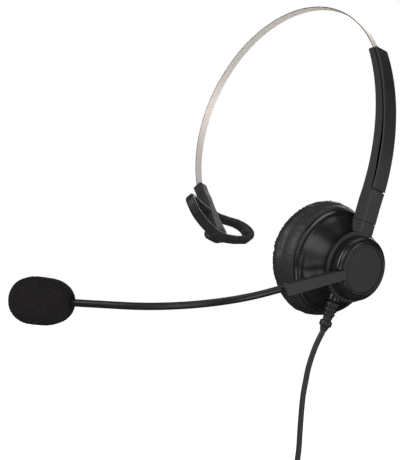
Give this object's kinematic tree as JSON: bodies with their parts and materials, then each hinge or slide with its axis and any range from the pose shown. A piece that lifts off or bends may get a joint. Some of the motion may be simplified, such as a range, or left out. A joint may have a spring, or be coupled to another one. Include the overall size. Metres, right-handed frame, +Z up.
{
  "type": "office headset",
  "caption": "Single-ear office headset with a sprung steel band, temple rest, sliding arm, tilting padded cup, turning boom microphone on a gooseneck and a coiled corded lead.",
  "frame": {"origin": "middle of the headband's underside at the crown, where it rests on the head", "axes": "+Z up; +X from the head towards the ear cup and out of its back; -Y forwards, the side that the microphone is on"},
  "size_m": [0.1654, 0.1744, 0.3876],
  "materials": {
    "band_steel": "brushed spring steel, slightly warm",
    "bright_steel": "plated steel",
    "magnet_steel": "grey plated steel",
    "satin_plastic": "satin dark grey moulded plastic",
    "gloss_plastic": "glossy black moulded plastic",
    "matte_plastic": "matte black",
    "temple_rubber": "soft matte black",
    "cord_rubber": "matte black",
    "leatherette": "soft black leatherette",
    "foam": "open-cell black foam",
    "cloth": "thin black acoustic cloth",
    "film": "thin clear-amber film",
    "board": "green circuit board",
    "contact_gold": "gold-plated"
  },
  "bodies": {
    "headband": {"band_strip": "band_steel", "band_stop": "bright_steel", "tail_rivet": "bright_steel", "temple_pin": "bright_steel"},
    "temple_rest": {"temple_rest": "temple_rubber"},
    "arm": {"arm_shell": "satin_plastic", "arm_cover": "satin_plastic", "arm_screw": "bright_steel", "friction_spring": "bright_steel"},
    "yoke": {"yoke": "satin_plastic", "swivel_pin": "bright_steel", "swivel_clip": "bright_steel", "ball_stud": "bright_steel", "hub_washer": "bright_steel", "stud_nut": "bright_steel"},
    "ear_cup": {"cup_shell": "gloss_plastic", "ball_retainer": "matte_plastic", "baffle_plate": "matte_plastic", "speaker_basket": "matte_plastic", "speaker_film": "film", "speaker_magnet": "magnet_steel", "terminal_board": "board", "cup_screw_1": "bright_steel", "cup_screw_2": "bright_steel", "cup_screw_3": "bright_steel", "ear_cushion": "leatherette", "ear_screen": "cloth", "strain_relief": "cord_rubber", "cord": "cord_rubber", "cord_hank": "cord_rubber", "hank_tie": "cord_rubber", "cord_tail": "cord_rubber", "plug_relief": "cord_rubber", "plug_grip": "cord_rubber", "plug_shell": "bright_steel", "plug_tongue": "matte_plastic", "plug_contact_1": "contact_gold", "plug_contact_2": "contact_gold", "plug_contact_3": "contact_gold", "plug_contact_4": "contact_gold"},
    "boom": {"hub_shell": "gloss_plastic", "boom_arm": "satin_plastic", "hub_cap": "satin_plastic", "gooseneck_root": "matte_plastic"},
    "neck_middle": {"gooseneck_middle": "matte_plastic"},
    "microphone": {"gooseneck_tip": "matte_plastic", "mic_holder": "matte_plastic", "mic_capsule": "bright_steel", "mic_foam": "foam"}
  },
  "joints": [
    {"name": "arm_slide", "type": "hinge", "parent": "headband", "child": "arm", "pos_m": [-0.03593, 0, -0.10015], "axis": [0, 1, 0], "range_deg": [-2, 14.5]},
    {"name": "temple_turn", "type": "hinge", "parent": "headband", "child": "temple_rest", "pos_m": [-0.05463, 0, -0.11424], "axis": [0.788, 0, -0.6157], "range_deg": [-12, 12]},
    {"name": "yoke_swivel", "type": "hinge", "parent": "arm", "child": "yoke", "pos_m": [0.0826, 0, -0.1104], "axis": [0, 0, 1], "range_deg": [-20, 20]},
    {"name": "cup_tilt", "type": "hinge", "parent": "yoke", "child": "ear_cup", "pos_m": [0.0805, 0, -0.1346], "axis": [0, 1, 0], "range_deg": [-3, 6]},
    {"name": "boom_turn", "type": "hinge", "parent": "yoke", "child": "boom", "pos_m": [0.0884, 0, -0.1346], "axis": [-1, 0, 0], "range_deg": [-45, 235]},
    {"name": "gooseneck_bend_1", "type": "hinge", "parent": "boom", "child": "neck_middle", "pos_m": [0.08517, -0.07861, -0.17587], "axis": [0, 0.4648, -0.8854], "range_deg": [-15, 15]},
    {"name": "gooseneck_bend_2", "type": "hinge", "parent": "neck_middle", "child": "microphone", "pos_m": [0.06656, -0.10351, -0.18895], "axis": [0, 0.4648, -0.8854], "range_deg": [-15, 15]}
  ]
}
